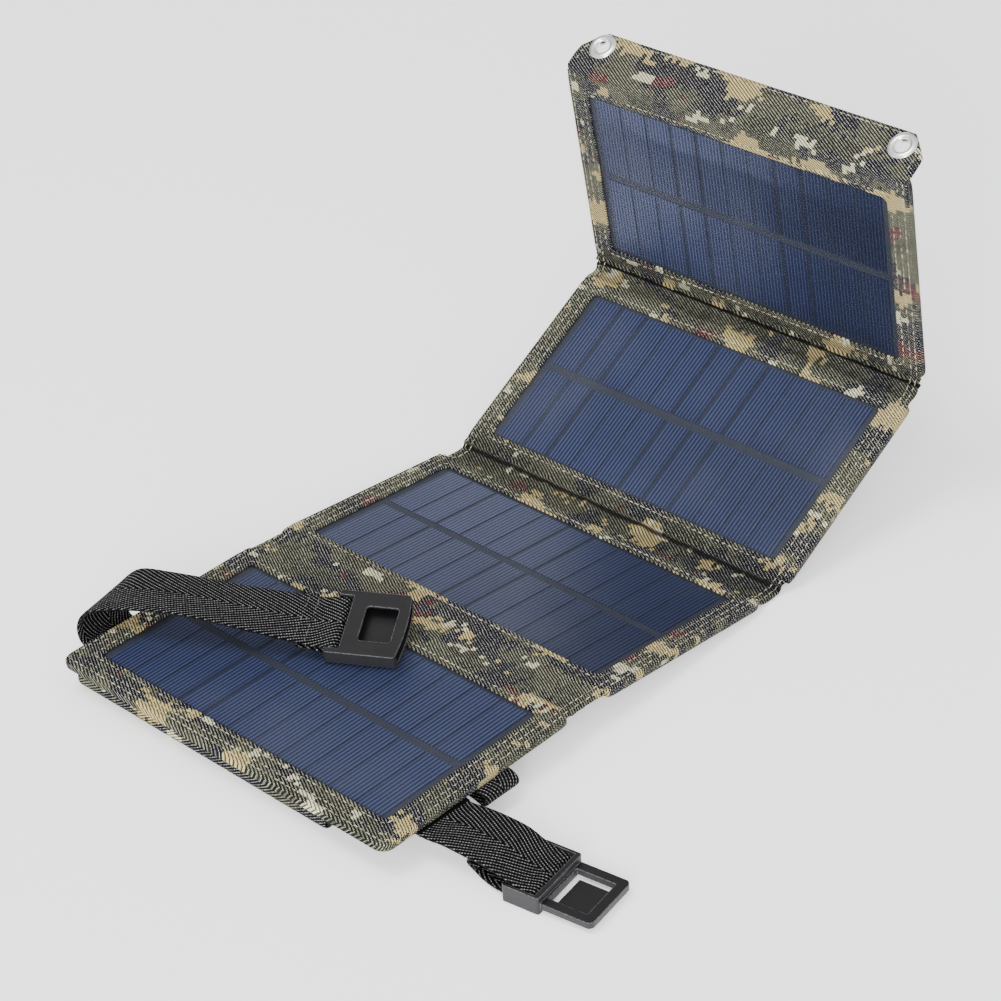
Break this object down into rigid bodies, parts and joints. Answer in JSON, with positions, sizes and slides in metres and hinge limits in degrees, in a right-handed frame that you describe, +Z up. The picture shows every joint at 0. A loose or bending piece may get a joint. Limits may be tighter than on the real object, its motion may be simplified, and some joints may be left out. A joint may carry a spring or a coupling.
{
  "type": "folding_solar_charger",
  "caption": "Folding solar charger for camping: camouflage cloth panels standing in a zigzag, an eyelet flap, a rear pocket and black webbing straps with a release buckle",
  "frame": {"origin": "centre of the rear pocket's flat underside, straight below the middle of the first panel's window", "axes": "+X along the panels' long side towards the right strap, +Y away from the buckle end along the row of panels, +Z up from the ground"},
  "size_m": [0.2602, 0.3169, 0.1641],
  "materials": {
    "camouflage_cloth": "matte",
    "lining_cloth": "matte",
    "black_webbing": "matte",
    "hook_and_loop": "matte",
    "clear_film": "satin",
    "cell_glass": "satin",
    "circuit_board": "satin",
    "white_board": "matte",
    "lead_insulation": "satin",
    "black_plastic": "matte",
    "buckle_plastic": "satin",
    "bare_steel": "satin",
    "eyelet_metal": "polished",
    "lamp_lens": "gloss"
  },
  "bodies": {
    "panel_1": {"front_cover_1": "camouflage_cloth", "window_film_1": "clear_film", "solar_cells_1": "cell_glass", "circuit_board_1": "circuit_board", "stiffener_1": "white_board", "module_leads_1": "lead_insulation", "back_cover_1": "lining_cloth", "fold_strip_12_near": "camouflage_cloth", "pocket_shell": "camouflage_cloth", "loop_tape": "hook_and_loop", "regulator_base": "black_plastic", "regulator_lid": "black_plastic", "regulator_board": "circuit_board", "usb_socket": "bare_steel", "usb_contact_tongue": "white_board", "status_lamp": "lamp_lens", "regulator_screws": "bare_steel", "sewn_strap": "black_webbing", "strap_keeper": "black_webbing"},
    "panel_2": {"front_cover_2": "camouflage_cloth", "window_film_2": "clear_film", "solar_cells_2": "cell_glass", "circuit_board_2": "circuit_board", "stiffener_2": "white_board", "module_leads_2": "lead_insulation", "back_cover_2": "lining_cloth", "fold_strip_12_far": "camouflage_cloth", "fold_strip_23_near": "camouflage_cloth"},
    "panel_3": {"front_cover_3": "camouflage_cloth", "window_film_3": "clear_film", "solar_cells_3": "cell_glass", "circuit_board_3": "circuit_board", "stiffener_3": "white_board", "module_leads_3": "lead_insulation", "back_cover_3": "lining_cloth", "fold_strip_23_far": "camouflage_cloth", "fold_strip_34_near": "camouflage_cloth"},
    "panel_4": {"front_cover_4": "camouflage_cloth", "window_film_4": "clear_film", "solar_cells_4": "cell_glass", "circuit_board_4": "circuit_board", "stiffener_4": "white_board", "module_leads_4": "lead_insulation", "back_cover_4": "lining_cloth", "fold_strip_34_far": "camouflage_cloth"},
    "flap": {"eyelet_flap": "camouflage_cloth", "eyelets": "eyelet_metal", "eyelet_washers": "eyelet_metal"},
    "pocket_cover": {"pocket_flap": "camouflage_cloth", "hook_tape": "hook_and_loop"},
    "strap_left": {"left_strap": "black_webbing"},
    "strap_right": {"right_strap": "black_webbing"},
    "buckle_socket": {"socket_buckle": "buckle_plastic"},
    "buckle_plug": {"plug_buckle": "buckle_plastic"},
    "tongue": {"latch_tongue": "buckle_plastic"}
  },
  "joints": [
    {"name": "fold_12", "type": "hinge", "parent": "panel_1", "child": "panel_2", "pos_m": [0, 0.0564, 0.01478], "axis": [1, 0, 0], "range_deg": [-30, 118]},
    {"name": "fold_23", "type": "hinge", "parent": "panel_2", "child": "panel_3", "pos_m": [0, 0.17167, 0.00006], "axis": [-1, 0, 0], "range_deg": [-55, 205]},
    {"name": "fold_34", "type": "hinge", "parent": "panel_3", "child": "panel_4", "pos_m": [0, 0.26191, 0.05396], "axis": [1, 0, 0], "range_deg": [-80, 105]},
    {"name": "flap_fold", "type": "hinge", "parent": "panel_4", "child": "flap", "pos_m": [0, 0.24851, 0.15277], "axis": [1, 0, 0], "range_deg": [-30, 80]},
    {"name": "pocket_open", "type": "hinge", "parent": "panel_1", "child": "pocket_cover", "pos_m": [0, -0.0458, 0.01108], "axis": [-1, 0, 0], "range_deg": [0, 90]},
    {"name": "left_strap_lift", "type": "hinge", "parent": "panel_1", "child": "strap_left", "pos_m": [-0.095, -0.022, 0.00678], "axis": [0, -1, 0], "range_deg": [0, 100]},
    {"name": "right_strap_lift", "type": "hinge", "parent": "panel_1", "child": "strap_right", "pos_m": [0.0905, -0.022, 0.01038], "axis": [0, -1, 0], "range_deg": [0, 95]},
    {"name": "socket_buckle_pivot", "type": "hinge", "parent": "strap_left", "child": "buckle_socket", "pos_m": [-0.0115, 0.0251, 0.02218], "axis": [0.483, -0.8365, -0.2588], "range_deg": [0, 60]},
    {"name": "plug_buckle_pivot", "type": "hinge", "parent": "strap_right", "child": "buckle_plug", "pos_m": [0.13388, -0.01718, 0.0042], "axis": [0.153, -0.9882, 0], "range_deg": [0, 60]},
    {"name": "latch_tongue_flex", "type": "hinge", "parent": "buckle_plug", "child": "tongue", "pos_m": [0.15597, -0.01543, 0.0031], "axis": [0.153, -0.9882, 0], "range_deg": [0, 5], "stiffness_Nm_per_rad": 0.05}
  ]
}
